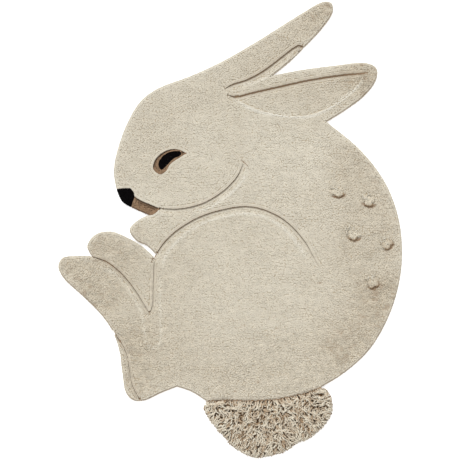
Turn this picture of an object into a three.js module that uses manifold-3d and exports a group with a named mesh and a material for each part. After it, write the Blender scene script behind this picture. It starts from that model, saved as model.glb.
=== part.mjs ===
// A child's hand-tufted wool rug in the outline of a curled-up rabbit, lying flat.
//
// Millimetres, +Z up. The rug rests on z = 0, its ears point to +Y and its nose to -X.
// One flat body carries the cut pile, the carved lines and the pockets of the inlaid
// yarns. The eye, nose and mouth are inlays, the tail is a pad of long yarn, and five
// yarn tufts stand on the back.
//
// Every outline is a ring or a line of hand-placed points, smoothed between its corners.

import * as THREE from 'three';
import { mergeVertices } from 'three/addons/utils/BufferGeometryUtils.js';
import Module from 'manifold-3d';

// ---------------------------------------------------------------- driving dimensions

const PILE_TOP = 12; // height of the cut pile above the floor
const BACKING = 3; // cloth and latex under the pile
const EDGE = { roundOut: 5, roundUp: 5, facets: 2 }; // how the sheared pile edge rolls in
const SEAM_GAP = 0.3; // clearance between two yarns that meet
const CURVE_STEPS = 4; // straight facets between two outline points
const MITRE_LIMIT = 2.5; // how far a corner may reach when an outline is offset
const CLEAR = 3; // how far a cutter stands above the pile
const CARVE = { wall: 1.6, depth: 6.5, slope: 20 };
const LEAF = { depth: 2.2, slope: 3 };
const TAIL = { height: 30, roundOut: 20, roundUp: 15, facets: 4, backingInset: 9, overlap: 12 };
const TUFT = { height: 9, sides: 14 };
const SECTION_CORNERS = 4; // corners in the section of a carving cutter

const YARN = {
  oatmeal: { color: 0xd0c7b3, roughness: 0.95 },
  taupe: { color: 0x80674f, roughness: 0.95 },
  black: { color: 0x0d0b0b, roughness: 0.9 },
  longOatmeal: { color: 0xb9ab95, roughness: 0.95 },
  cream: { color: 0xd6cfbd, roughness: 0.95 },
};

// ---------------------------------------------------------------- outlines

// Outline of the tufted body, anticlockwise. `corner` marks where the smooth line breaks.
const BODY = [
  { at: 'cheek front', x: -305, y: 156 },
  { at: 'nose', x: -296, y: 101 },
  { at: 'nose', x: -282, y: 73 },
  { at: 'lip', x: -259, y: 59 },
  { at: 'chin', x: -212, y: 38, corner: true },
  { at: 'paw', x: -240, y: 25 },
  { at: 'paw tip', x: -264, y: -1 },
  { at: 'paw', x: -244, y: -30 },
  { at: 'paw', x: -218, y: -42 },
  { at: 'paw end', x: -195, y: -64, corner: true },
  { at: 'foot notch', x: -199, y: -75, corner: true },
  { at: 'upper foot', x: -229, y: -47 },
  { at: 'upper foot', x: -269, y: -23 },
  { at: 'upper foot', x: -315, y: -6 },
  { at: 'upper toes', x: -354, y: -14 },
  { at: 'upper toes', x: -375, y: -43 },
  { at: 'between the toes', x: -364, y: -70, corner: true },
  { at: 'lower toes', x: -405, y: -70 },
  { at: 'lower toes', x: -440, y: -75 },
  { at: 'lower toes', x: -451, y: -96 },
  { at: 'lower foot', x: -439, y: -125 },
  { at: 'lower foot', x: -384, y: -177 },
  { at: 'lower foot', x: -337, y: -225 },
  { at: 'shin', x: -309, y: -266 },
  { at: 'shin', x: -291, y: -316 },
  { at: 'shin', x: -282, y: -381 },
  { at: 'heel', x: -273, y: -429 },
  { at: 'heel', x: -254, y: -448 },
  { at: 'heel', x: -224, y: -448 },
  { at: 'heel', x: -185, y: -430 },
  { at: 'rump notch', x: -140, y: -412, corner: true },
  { at: 'rump', x: -102, y: -425 },
  { at: 'tail start', x: -59, y: -452, corner: true },
  { at: 'tail seam', x: -22, y: -447 },
  { at: 'tail seam', x: 40, y: -450 },
  { at: 'tail seam', x: 112, y: -447 },
  { at: 'tail seam', x: 186, y: -432 },
  { at: 'tail end', x: 237, y: -415, corner: true },
  { at: 'back', x: 302, y: -374 },
  { at: 'back', x: 367, y: -313 },
  { at: 'back', x: 417, y: -225 },
  { at: 'back', x: 444, y: -135 },
  { at: 'back', x: 451, y: -48 },
  { at: 'back', x: 438, y: 45 },
  { at: 'back', x: 401, y: 133 },
  { at: 'back', x: 336, y: 214 },
  { at: 'nape notch', x: 252, y: 283, corner: true },
  { at: 'lower ear', x: 302, y: 314 },
  { at: 'lower ear', x: 352, y: 352 },
  { at: 'lower ear', x: 382, y: 392 },
  { at: 'lower ear tip', x: 384, y: 423 },
  { at: 'lower ear tip', x: 357, y: 437 },
  { at: 'lower ear', x: 275, y: 430 },
  { at: 'lower ear', x: 183, y: 418 },
  { at: 'ear notch', x: 108, y: 403, corner: true },
  { at: 'upper ear', x: 152, y: 438 },
  { at: 'upper ear', x: 197, y: 482 },
  { at: 'upper ear', x: 241, y: 529 },
  { at: 'upper ear tip', x: 269, y: 573 },
  { at: 'upper ear tip', x: 265, y: 595 },
  { at: 'upper ear tip', x: 245, y: 598 },
  { at: 'upper ear', x: 183, y: 564 },
  { at: 'upper ear', x: 65, y: 490 },
  { at: 'crown', x: -27, y: 438 },
  { at: 'crown', x: -106, y: 402 },
  { at: 'brow', x: -188, y: 371 },
  { at: 'brow', x: -231, y: 341 },
  { at: 'forehead', x: -261, y: 297 },
  { at: 'forehead', x: -289, y: 230 },
];

// Outline of the tail's long yarn. Its straight side follows the body's tail seam.
const TAIL_EDGE = [
  { at: 'tail start', x: -62, y: -453, corner: true },
  { at: 'left side', x: -69, y: -469 },
  { at: 'left side', x: -54, y: -497 },
  { at: 'left side', x: -16, y: -545 },
  { at: 'tip', x: 26, y: -581 },
  { at: 'tip', x: 67, y: -599 },
  { at: 'tip', x: 110, y: -592 },
  { at: 'right side', x: 146, y: -580 },
  { at: 'right side', x: 175, y: -562 },
  { at: 'right side', x: 204, y: -550 },
  { at: 'right side', x: 241, y: -521 },
  { at: 'right side', x: 263, y: -487 },
  { at: 'right side', x: 266, y: -448 },
  { at: 'right side', x: 252, y: -425 },
  { at: 'tail end', x: 238, y: -416, corner: true },
  { at: 'tail seam', x: 186, y: -433 },
  { at: 'tail seam', x: 112, y: -448 },
  { at: 'tail seam', x: 40, y: -451 },
  { at: 'tail seam', x: -22, y: -448 },
];

const EYE_RIM = [
  { at: 'outer corner', x: -115, y: 200, corner: true },
  { at: 'upper lid', x: -133, y: 209 },
  { at: 'upper lid', x: -153, y: 211 },
  { at: 'upper lid', x: -179, y: 201 },
  { at: 'front', x: -198, y: 181 },
  { at: 'front', x: -202, y: 159 },
  { at: 'lower corner', x: -184, y: 145 },
  { at: 'lower lid', x: -168, y: 154 },
  { at: 'lower lid', x: -158, y: 171 },
  { at: 'lower lid', x: -144, y: 182 },
];

const EYE_PUPIL = [
  { at: 'outer corner', x: -131, y: 203 },
  { at: 'top', x: -152, y: 204 },
  { at: 'top', x: -175, y: 193 },
  { at: 'front', x: -188, y: 172 },
  { at: 'lower corner', x: -181, y: 158 },
  { at: 'underside', x: -168, y: 168 },
  { at: 'underside', x: -150, y: 186 },
  { at: 'underside', x: -131, y: 196 },
];

// The nose and the mouth run out past the body's edge, which trims them.
const NOSE = [
  { at: 'bridge', x: -312, y: 104, corner: true },
  { at: 'under the lip', x: -300, y: 40, corner: true },
  { at: 'lip', x: -258, y: 50, corner: true },
  { at: 'lip', x: -260, y: 60 },
  { at: 'back', x: -252, y: 84 },
  { at: 'back', x: -253, y: 96 },
  { at: 'top', x: -262, y: 108, corner: true },
  { at: 'top', x: -280, y: 108 },
];

const MOUTH = [
  { at: 'nose', x: -252, y: 87, corner: true },
  { at: 'nose', x: -259, y: 60, corner: true },
  { at: 'below the lip', x: -262, y: 44, corner: true },
  { at: 'below the chin', x: -221, y: 37, corner: true },
  { at: 'corner of the mouth', x: -203, y: 39 },
  { at: 'corner of the mouth', x: -184, y: 55, corner: true },
  { at: 'upper lip', x: -208, y: 65 },
  { at: 'upper lip', x: -234, y: 76 },
];

// The hollow of the lower ear is sheared lower than its rim.
const EAR_HOLLOW = [
  { at: 'root', x: -1, y: 351, corner: true },
  { at: 'lower side', x: 65, y: 318 },
  { at: 'lower side', x: 125, y: 300 },
  { at: 'lower side', x: 189, y: 298 },
  { at: 'lower side', x: 249, y: 314 },
  { at: 'lower side', x: 312, y: 353 },
  { at: 'tip', x: 354, y: 410, corner: true },
  { at: 'upper side', x: 288, y: 405 },
  { at: 'upper side', x: 210, y: 393 },
  { at: 'upper side', x: 118, y: 373 },
  { at: 'upper side', x: 57, y: 359 },
];

// Carved lines. The pile stands at full height on the left of each line, as it is walked,
// and slopes down to it from the right. `deep` scales the cut at that point.
const CARVED_LINES = {
  cheek: [
    { x: -186, y: 56, deep: 0.7 },
    { x: -132, y: 55, deep: 1 },
    { x: -71, y: 70, deep: 1 },
    { x: -16, y: 104, deep: 1 },
    { x: 18, y: 140, deep: 0.9 },
    { x: 34, y: 174, deep: 0.4 },
  ],
  haunch: [
    { x: -206, y: -82, deep: 0.6 },
    { x: -169, y: -28, deep: 1 },
    { x: -132, y: 4, deep: 1 },
    { x: -79, y: 34, deep: 1 },
    { x: -22, y: 52, deep: 1 },
    { x: 34, y: 61, deep: 1 },
    { x: 84, y: 54, deep: 1 },
    { x: 144, y: 24, deep: 1 },
    { x: 194, y: -28, deep: 0.8 },
    { x: 231, y: -93, deep: 0.3 },
  ],
  betweenFeet: [
    { x: -376, y: -66, deep: 0.4 },
    { x: -326, y: -84, deep: 1 },
    { x: -292, y: -109, deep: 1 },
    { x: -253, y: -154, deep: 0.9 },
    { x: -212, y: -219, deep: 0.8 },
  ],
  footToHaunch: [
    { x: -212, y: -219, deep: 0.6 },
    { x: -205, y: -198, deep: 0.5 },
    { x: -203, y: -146, deep: 0.5 },
    { x: -200, y: -70, deep: 0.6 },
  ],
  shin: [
    { x: -314, y: -262, deep: 0.5 },
    { x: -287, y: -295, deep: 0.6 },
    { x: -270, y: -332, deep: 0.5 },
    { x: -263, y: -379, deep: 0.4 },
    { x: -254, y: -416, deep: 0.5 },
    { x: -233, y: -452, deep: 0.7 },
  ],
  upperEar: [
    { x: -11, y: 372, deep: 0.5 },
    { x: 5, y: 381, deep: 1 },
    { x: 42, y: 393, deep: 1 },
    { x: 84, y: 415, deep: 1 },
    { x: 131, y: 450, deep: 1 },
    { x: 168, y: 478, deep: 1 },
    { x: 182, y: 484, deep: 1 },
    { x: 199, y: 474, deep: 1 },
  ],
  lowerEar: [
    { x: -3, y: 352, deep: 0.5 },
    { x: 15, y: 349, deep: 1 },
    { x: 57, y: 359, deep: 1 },
    { x: 118, y: 373, deep: 1 },
    { x: 210, y: 393, deep: 1 },
    { x: 288, y: 405, deep: 1 },
    { x: 354, y: 410, deep: 0.5 },
  ],
};

// Yarn tufts on the back: centre, length, width and the turn of the long side in degrees.
const BACK_TUFTS = [
  { x: 281, y: 98, long: 42, wide: 28, turn: -6 },
  { x: 363, y: 76, long: 38, wide: 32, turn: -25 },
  { x: 324, y: -13, long: 38, wide: 32, turn: -20 },
  { x: 411, y: -38, long: 34, wide: 30, turn: 20 },
  { x: 374, y: -138, long: 34, wide: 36, turn: 0 },
];

// ---------------------------------------------------------------- curves

// Smooths a run of points that starts and ends at a corner.
function smoothRun(points) {
  const knots = points.map((p) => new THREE.Vector3(p.x, p.y, 0));
  if (knots.length === 2) return knots;
  const curve = new THREE.CatmullRomCurve3(knots, false, 'centripetal');
  return curve.getPoints(CURVE_STEPS * (knots.length - 1));
}

// Turns a ring of rows into a closed outline, smooth between its corners.
function outline(rows) {
  const first = rows.findIndex((row) => row.corner);
  if (first < 0) {
    const knots = rows.map((p) => new THREE.Vector3(p.x, p.y, 0));
    const ring = new THREE.CatmullRomCurve3(knots, true, 'centripetal');
    return ring.getPoints(CURVE_STEPS * knots.length).slice(0, -1);
  }
  const turned = [...rows.slice(first), ...rows.slice(0, first), rows[first]];
  const ring = [];
  let run = [turned[0]];
  for (const row of turned.slice(1)) {
    run.push(row);
    if (row.corner) {
      ring.push(...smoothRun(run).slice(0, -1));
      run = [row];
    }
  }
  return ring;
}

// Moves a closed anticlockwise outline outwards, or inwards if negative, with mitred
// corners that reach no further than `MITRE_LIMIT` times the distance.
function offsetRing(ring, distance) {
  const sideNormal = (from, to) => {
    const along = new THREE.Vector2(to.x - from.x, to.y - from.y).normalize();
    return new THREE.Vector2(along.y, -along.x);
  };
  return ring.map((p, i) => {
    const before = sideNormal(ring[(i + ring.length - 1) % ring.length], p);
    const after = sideNormal(p, ring[(i + 1) % ring.length]);
    const mitre = before.clone().add(after).normalize();
    const reach = distance / Math.max(mitre.dot(after), 1 / MITRE_LIMIT);
    return new THREE.Vector3(p.x + mitre.x * reach, p.y + mitre.y * reach, 0);
  });
}

// Draws a rounded outline in towards its middle, which keeps a wide inset from crossing.
function drawIn(ring, distance) {
  const box = new THREE.Box3().setFromPoints(ring);
  const middle = box.getCenter(new THREE.Vector3());
  return ring.map((p) => {
    const inward = new THREE.Vector3().subVectors(middle, p);
    return p.clone().addScaledVector(inward.normalize(), distance);
  });
}

// ---------------------------------------------------------------- solids

const wasm = await Module();
wasm.setup();

function toSolid(geometry) {
  const bare = geometry.clone();
  bare.deleteAttribute('normal');
  bare.deleteAttribute('uv');
  const merged = mergeVertices(bare, 1e-4);
  return new wasm.Manifold(new wasm.Mesh({
    numProp: 3,
    vertProperties: new Float32Array(merged.attributes.position.array),
    triVerts: new Uint32Array(merged.index.array),
  }));
}

function toGeometry(solid) {
  const mesh = solid.getMesh();
  const geometry = new THREE.BufferGeometry();
  geometry.setAttribute('position', new THREE.BufferAttribute(mesh.vertProperties, 3));
  geometry.setIndex(new THREE.BufferAttribute(mesh.triVerts, 1));
  geometry.computeVertexNormals();
  return geometry;
}

// A closed solid through a stack of level rings, each { ring, z }, from the lowest up.
function stack(levels) {
  const count = levels[0].ring.length;
  const positions = [];
  for (const { ring, z } of levels) {
    for (const p of ring) positions.push(p.x, p.y, z);
  }
  const index = [];
  for (let level = 0; level < levels.length - 1; level += 1) {
    for (let i = 0; i < count; i += 1) {
      const a = level * count + i;
      const b = level * count + ((i + 1) % count);
      index.push(a, b, b + count, a, b + count, a + count);
    }
  }
  const flat = (ring) => ring.map((p) => new THREE.Vector2(p.x, p.y));
  for (const [a, b, c] of THREE.ShapeUtils.triangulateShape(flat(levels[0].ring), [])) {
    index.push(a, c, b);
  }
  const top = levels.length - 1;
  for (const face of THREE.ShapeUtils.triangulateShape(flat(levels[top].ring), [])) {
    index.push(...face.map((corner) => top * count + corner));
  }
  const geometry = new THREE.BufferGeometry();
  geometry.setAttribute('position', new THREE.Float32BufferAttribute(positions, 3));
  geometry.setIndex(index);
  return toSolid(geometry);
}

// An upright prism over an outline.
function prism(ring, bottom, top) {
  return stack([{ ring, z: bottom }, { ring, z: top }]);
}

// A pad with a flat underside whose top edge rolls in, by the measures in `roll`.
// `inset` is the way that its outline is taken in.
function roundedPad(inset, ring, bottom, top, roll) {
  const levels = [{ ring, z: bottom }];
  for (let i = 0; i <= roll.facets; i += 1) {
    const angle = (i / roll.facets) * (Math.PI / 2);
    levels.push({
      ring: inset(ring, roll.roundOut * (1 - Math.cos(angle))),
      z: top - roll.roundUp * (1 - Math.sin(angle)),
    });
  }
  return stack(levels);
}

// The cutter for one carved line: a steep wall on its left and a long slope on its right.
function carvingCutter(rows) {
  const curve = new THREE.CatmullRomCurve3(
    rows.map((p) => new THREE.Vector3(p.x, p.y, 0)), false, 'centripetal');
  const steps = CURVE_STEPS * (rows.length - 1);
  const positions = [];
  for (let i = 0; i <= steps; i += 1) {
    const t = i / steps;
    const p = curve.getPoint(t);
    const along = curve.getTangent(t);
    const place = t * (rows.length - 1);
    const row = Math.min(Math.floor(place), rows.length - 2);
    const deep = THREE.MathUtils.lerp(rows[row].deep, rows[row + 1].deep, place - row);
    const above = PILE_TOP + CLEAR;
    const section = [
      [-CARVE.wall * deep, above],
      [0, PILE_TOP - CARVE.depth * deep],
      [CARVE.slope * deep, PILE_TOP],
      [CARVE.slope * deep, above],
    ];
    for (const [across, z] of section) {
      positions.push(p.x + along.y * across, p.y - along.x * across, z);
    }
  }
  const index = [];
  const round = SECTION_CORNERS;
  for (let i = 0; i < steps; i += 1) {
    for (let side = 0; side < round; side += 1) {
      const a = round * i + side;
      const b = round * i + ((side + 1) % round);
      index.push(a, b + round, b, a, a + round, b + round);
    }
  }
  const last = round * steps;
  index.push(0, 1, 2, 0, 2, 3, last, last + 2, last + 1, last, last + 3, last + 2);
  const geometry = new THREE.BufferGeometry();
  geometry.setAttribute('position', new THREE.Float32BufferAttribute(positions, 3));
  geometry.setIndex(index);
  return toSolid(geometry);
}

// The cutter for the hollow of the lower ear: a shallow dish with sloping sides.
function hollowCutter() {
  const rim = outline(EAR_HOLLOW);
  return stack([
    { ring: offsetRing(rim, -LEAF.slope), z: PILE_TOP - LEAF.depth },
    { ring: rim, z: PILE_TOP },
    { ring: rim, z: PILE_TOP + CLEAR },
  ]);
}

// ---------------------------------------------------------------- pieces

const floorOfPile = BACKING + SEAM_GAP;

// The sheared pile with its carved lines, before the inlays are let in.
function carvedPile() {
  const takeIn = (ring, distance) => offsetRing(ring, -distance);
  let pile = roundedPad(takeIn, outline(BODY), 0, PILE_TOP, EDGE);
  for (const rows of Object.values(CARVED_LINES)) {
    pile = pile.subtract(carvingCutter(rows));
  }
  return pile.subtract(hollowCutter());
}

// The backing that carries the tail's yarn, run in under the body's own.
function tailBacking() {
  const ring = offsetRing(outline(TAIL_EDGE), -TAIL.backingInset);
  const lifted = ring.map((p) => new THREE.Vector3(p.x, p.y + TAIL.overlap, 0));
  return prism(ring, 0, BACKING).add(prism(lifted, 0, BACKING));
}

function tailPad() {
  return roundedPad(drawIn, outline(TAIL_EDGE), floorOfPile, TAIL.height, TAIL);
}

// A dome of unit radius and height, which is scaled to each tuft.
function backTuft() {
  const profile = [
    [0, 0], [0.92, 0], [1, 0.3], [0.88, 0.62], [0.6, 0.88], [0.28, 0.98], [0, 1],
  ].map(([r, z]) => new THREE.Vector2(r, z));
  const dome = new THREE.LatheGeometry(profile, TUFT.sides);
  dome.rotateX(Math.PI / 2);
  return dome;
}

const rug = new THREE.Group();

function addPiece(name, geometry, yarn) {
  const material = new THREE.MeshStandardMaterial({ ...yarn, metalness: 0 });
  const mesh = new THREE.Mesh(geometry, material);
  mesh.name = name;
  rug.add(mesh);
  return mesh;
}

// An inlay fills its outline from the backing up to the surface of the carved pile.
function inlay(ring, pile) {
  return prism(ring, floorOfPile, PILE_TOP + CLEAR).intersect(pile);
}

const pile = carvedPile();
const rimRing = outline(EYE_RIM);
const pupilRing = outline(EYE_PUPIL);
const noseRing = outline(NOSE);
const mouthRing = outline(MOUTH);

const pocket = (ring) => prism(offsetRing(ring, SEAM_GAP), BACKING, PILE_TOP + CLEAR);
const body = pile
  .subtract(pocket(rimRing))
  .subtract(pocket(noseRing))
  .subtract(pocket(mouthRing))
  .add(tailBacking());

addPiece('tufted_body', toGeometry(body), YARN.oatmeal);
addPiece('eye_rim', toGeometry(inlay(rimRing, pile).subtract(pocket(pupilRing))), YARN.taupe);
addPiece('eye_pupil', toGeometry(inlay(pupilRing, pile)), YARN.black);
addPiece('nose', toGeometry(inlay(noseRing, pile)), YARN.black);
addPiece('mouth', toGeometry(inlay(mouthRing, pile).subtract(pocket(noseRing))), YARN.taupe);
addPiece('tail', toGeometry(tailPad()), YARN.longOatmeal);

BACK_TUFTS.forEach((tuft, i) => {
  const mesh = addPiece(`back_tuft_${i + 1}`, backTuft(), YARN.cream);
  mesh.scale.set(tuft.long / 2, tuft.wide / 2, TUFT.height);
  mesh.rotation.z = THREE.MathUtils.degToRad(tuft.turn);
  mesh.position.set(tuft.x, tuft.y, PILE_TOP + SEAM_GAP);
});

export default rug;
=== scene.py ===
"""A child's hand-tufted rug in the outline of a curled-up rabbit: carved wool pile, inlaid
eye, nose and mouth, a tail of long crinkled yarn and five yarn tufts on the back.

Metres, +Z up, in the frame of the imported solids. Each pile piece is made of cut yarn ends
that stand on its solid's surface, so every outline comes from the solids themselves.
"""

import math

import bmesh
import bpy
import numpy as np
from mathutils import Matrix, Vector, kdtree
from mathutils.bvhtree import BVHTree
from mathutils.geometry import delaunay_2d_cdt


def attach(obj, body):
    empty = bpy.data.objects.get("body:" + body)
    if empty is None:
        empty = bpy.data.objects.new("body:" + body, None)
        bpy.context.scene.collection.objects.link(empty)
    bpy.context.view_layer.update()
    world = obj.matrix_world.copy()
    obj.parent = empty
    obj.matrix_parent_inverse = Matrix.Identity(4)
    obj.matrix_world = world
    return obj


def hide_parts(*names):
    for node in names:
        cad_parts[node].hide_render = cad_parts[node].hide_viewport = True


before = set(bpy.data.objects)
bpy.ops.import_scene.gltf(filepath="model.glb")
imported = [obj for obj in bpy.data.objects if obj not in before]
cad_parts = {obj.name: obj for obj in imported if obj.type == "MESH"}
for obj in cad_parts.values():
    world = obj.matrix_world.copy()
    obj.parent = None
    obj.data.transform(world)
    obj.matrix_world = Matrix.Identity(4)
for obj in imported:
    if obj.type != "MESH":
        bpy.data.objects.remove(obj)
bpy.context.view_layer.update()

MM = 0.001
MILLIMETRES_PER_METRE = 1000

# ---------------------------------------------------------------- the rug's measures

BACKING = 3 * MM  # cloth and latex under the pile
PILE_TOP = 12 * MM
CARVE_FLOOR = 5.5 * MM  # lowest surface of the solids in a full-depth carved line
SECTION_AT = 4.5 * MM  # below every carved line, above the backing
BACKING_SECTION_AT = 1.5 * MM

YARN_END = {"along": 4.1 * MM, "row": 3.6 * MM, "long": 5.6 * MM, "wide": 5.2 * MM}
END_SHAPES = 4
END_LENGTH = 4.6 * MM  # of a yarn end that stands clear of the ground
BORDER_END_LENGTH = 9.0 * MM  # at a free edge the ends show down to the backing
GROUND_SINK = 2.6 * MM  # ground of the pile below its sheared top
LINE_FLOOR = 4.8 * MM  # lowest ground, in a full-depth carved line
BORDER_INSET = 2.1 * MM
PUPIL_INSET = 0.2 * MM  # the pupil's wool spreads over its outline
BORDER_LEAN = 0.2
EDGE_SPREAD = 1.8 * MM  # the pile spreads this far over a free edge
TOWARDS_WINDOW = (-0.1, 0.99)
BORDER_GAP = 3.3 * MM  # between the yarn ends of an outline or a carved line
ROW_PITCH = 3.6 * MM  # between the rows that follow a carved line
SECOND_ROW = 3.1 * MM  # from the row at an outline to the next one in
FILL_CLEARANCE = 2.8 * MM  # from the rows that follow a line to the rows between them
CREST_WIDTH = 4.0 * MM
RIM_WIDTH = 16 * MM  # of the painted highlight along the rug's edge, strongest where it faces the window

# Carved lines, in millimetres. The pile slopes down to each from the right, as it is walked.
CARVED_LINES = {
    # name: bare half-width, rows of (x, y, deep)
    "cheek": (0.42, (
        (-186, 56, 0.4), (-132, 55, 0.55), (-71, 70, 0.55), (-16, 104, 0.55), (18, 140, 0.6),
        (34, 174, 0.4))),
    "haunch": (0.48, (
        (-206, -82, 0.5), (-169, -28, 0.8), (-132, 4, 0.8), (-79, 34, 0.8), (-22, 52, 0.8),
        (34, 61, 0.8), (84, 54, 0.8), (144, 24, 0.65), (194, -28, 0.55), (231, -93, 0.25))),
    "between feet": (0.8, (
        (-376, -66, 0.5), (-326, -84, 1), (-292, -109, 0.9), (-253, -154, 0.65),
        (-212, -219, 0.45))),
    "foot to haunch": (0.6, (
        (-212, -219, 0.5), (-205, -198, 0.4), (-203, -146, 0.35), (-201, -90, 0.35))),
    "cheek end": (1.1, ((30, 181, 0.8), (37, 175, 1), (44, 169, 0.8))),
    "shin": (0.9, (
        (-314, -262, 0.5), (-287, -295, 0.6), (-270, -332, 0.5), (-263, -379, 0.4),
        (-254, -416, 0.5), (-236, -447, 0.6))),
    "upper ear": (0.75, (
        (-11, 372, 0.5), (5, 381, 1), (42, 393, 1), (84, 415, 1), (131, 450, 1),
        (168, 478, 1), (182, 484, 1), (199, 474, 1))),
    "lower ear": (1.65, (
        (-3, 352, 0.5), (15, 349, 1), (57, 359, 1), (118, 373, 1), (210, 393, 1),
        (288, 405, 1), (345, 410, 1), (359, 411, 0.8))),
}

# Crests where the sheared slopes meet the full pile, raised a little and painted paler as a highlight,
# in millimetres.
CRESTS = {
    # name: strength, rows of (x, y)
    "cheek": (0.6, ((-108, 48), (-63, 55), (-8, 88), (32, 128), (48, 160))),
    "haunch": (0.55, (
        (-180, -105), (-168, -67), (-121, -15), (-75, 15), (-19, 33), (35, 42), (81, 36),
        (131, 12), (177, -38), (205, -82))),
    "between the feet": (0.3, (
        (-352, -92), (-322, -105), (-288, -130), (-255, -172), (-232, -222), (-225, -268),
        (-214, -305), (-196, -312), (-184, -296), (-184, -200), (-185, -110))),
    "upper ear": (0.45, ((15, 375), (55, 385), (97, 399), (120, 411))),
    "lower ear": (0.75, (
        (10, 343), (48, 320), (92, 305), (140, 299), (204, 296), (255, 315), (302, 348),
        (336, 376), (352, 398))),
}

# How brown the pile is in each region, from 0 on the head to 1 on the ear tips, partly the
# wool's own colour and partly painted shade, as under the lower foot and where the pile leans
# away from the light, and how uneven its yarn ends are.
WOOL_SHADES = (
    # region, x, y in millimetres, reach in millimetres, brown, grain
    ("head", -150, 250, 120, 0.2, 0.8),
    ("cheek", -110, 120, 80, 0.0, 0.85),
    ("forehead", -230, 300, 50, 0.2, 0.9),
    ("above the eye", -75, 235, 42, -0.2, 0.8),
    ("upper ear", 140, 500, 70, 0.36, 0.8),
    ("upper ear tip", 240, 570, 45, 0.68, 0.75),
    ("lower ear", 210, 350, 80, 0.34, 0.3),
    ("lower ear tip", 350, 410, 45, 0.72, 0.9),
    ("shoulder", -80, 20, 60, 0.2, 1.0),
    ("upper foot", -300, -60, 50, 0.5, 1.5),
    ("lower foot", -380, -120, 60, 0.56, 1.8),
    ("sole of the lower foot", -405, -195, 40, 0.8, 1.7),
    ("leg", -262, -310, 60, 0.6, 1.4),
    ("shin", -270, -232, 25, 0.3, 1.4),
    ("haunch", 0, -150, 120, 0.1, 1.05),
    ("haunch front", -150, -150, 70, 0.34, 1.2),
    ("upper back", 160, 215, 80, -0.05, 1.0),
    ("edge of the upper back", 325, 170, 52, 0.45, 1.2),
    ("middle of the back", 210, 70, 70, 0.16, 1.2),
    ("back edge", 380, 20, 70, 0.42, 1.3),
    ("between the tufts", 372, -85, 35, 0.35, 1.7),
    ("below the tufts", 392, -185, 40, 0.75, 1.7),
    ("lower back", 350, -230, 80, 0.6, 1.7),
    ("beside the haunch", 268, -185, 56, 0.15, 1.3),
    ("belly", -100, -350, 80, 0.36, 1.6),
    ("rump", 100, -380, 80, 0.33, 2.1),
)

# Small partings in the pile, in millimetres, lowered and painted with brown shade.
PARTINGS = (
    # x, y, long, wide, strength
    (123, -260, 9, 4, 0.7),
    (73, -400, 9, 4, 0.8),
    (13, -425, 8, 4, 0.8),
    (236, -140, 8, 4, 0.6),
    (223, 261, 7, 4, 0.4),
    (-95, -233, 7, 4, 0.4),
)

# Yarn tufts on the back, in millimetres and degrees, where the solids have them.
BACK_TUFTS = (
    # solid, x, y, long, wide, turn, brown
    ("back_tuft_1", 281, 98, 42, 28, -6, 0.15),
    ("back_tuft_2", 363, 76, 38, 32, -25, 0.1),
    ("back_tuft_3", 324, -13, 38, 32, -20, 0.05),
    ("back_tuft_4", 411, -38, 34, 30, 20, 0.5),
    ("back_tuft_5", 374, -138, 34, 36, 0, 0.35),
)

# Where the loose rim of the tail draws in, in millimetres.
TAIL_DIPS = (
    # x, y, wide, deep
    (186, -556, 12, 9),
    (227, -538, 11, 5),
    (-42, -515, 22, 3),
)

# Bands of the pile, from the ear tips down. Each is one piece.
PILE_BANDS = (
    # piece, lowest y in metres
    ("pile_of_ears", 0.330),
    ("pile_of_head", 0.150),
    ("pile_of_shoulder", 0.020),
    ("pile_of_back", -0.120),
    ("pile_of_haunch", -0.270),
    ("pile_of_rump", -1.0),
)

# ---------------------------------------------------------------- writing node trees


class Wire:
    """A socket of a node tree, or a number. Its operators add Math nodes."""

    def __init__(self, bench, socket):
        self.bench = bench
        self.socket = socket

    def maths(self, operation, *others, clamp=False):
        settings = {"operation": operation, "use_clamp": clamp}
        values = {i: other for i, other in enumerate((self, *others))}
        return self.bench.node("ShaderNodeMath", settings, values)["Value"]

    def __add__(self, other):
        return self.maths("ADD", other)

    def __mul__(self, other):
        return self.maths("MULTIPLY", other)

    def __sub__(self, other):
        return self.maths("SUBTRACT", other)

    def __rsub__(self, other):
        return (self * -1) + other

    def __truediv__(self, other):
        return self.maths("DIVIDE", other)

    def __pow__(self, other):
        return self.maths("POWER", other)

    __radd__ = __add__
    __rmul__ = __mul__

    def clamped(self):
        return self.maths("ADD", 0, clamp=True)

    def rise(self, low, high):
        """0 below low, 1 above high and smooth between them."""
        share = ((self - low) / (high - low)).clamped()
        return share * share * (3 - share * 2)


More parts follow.
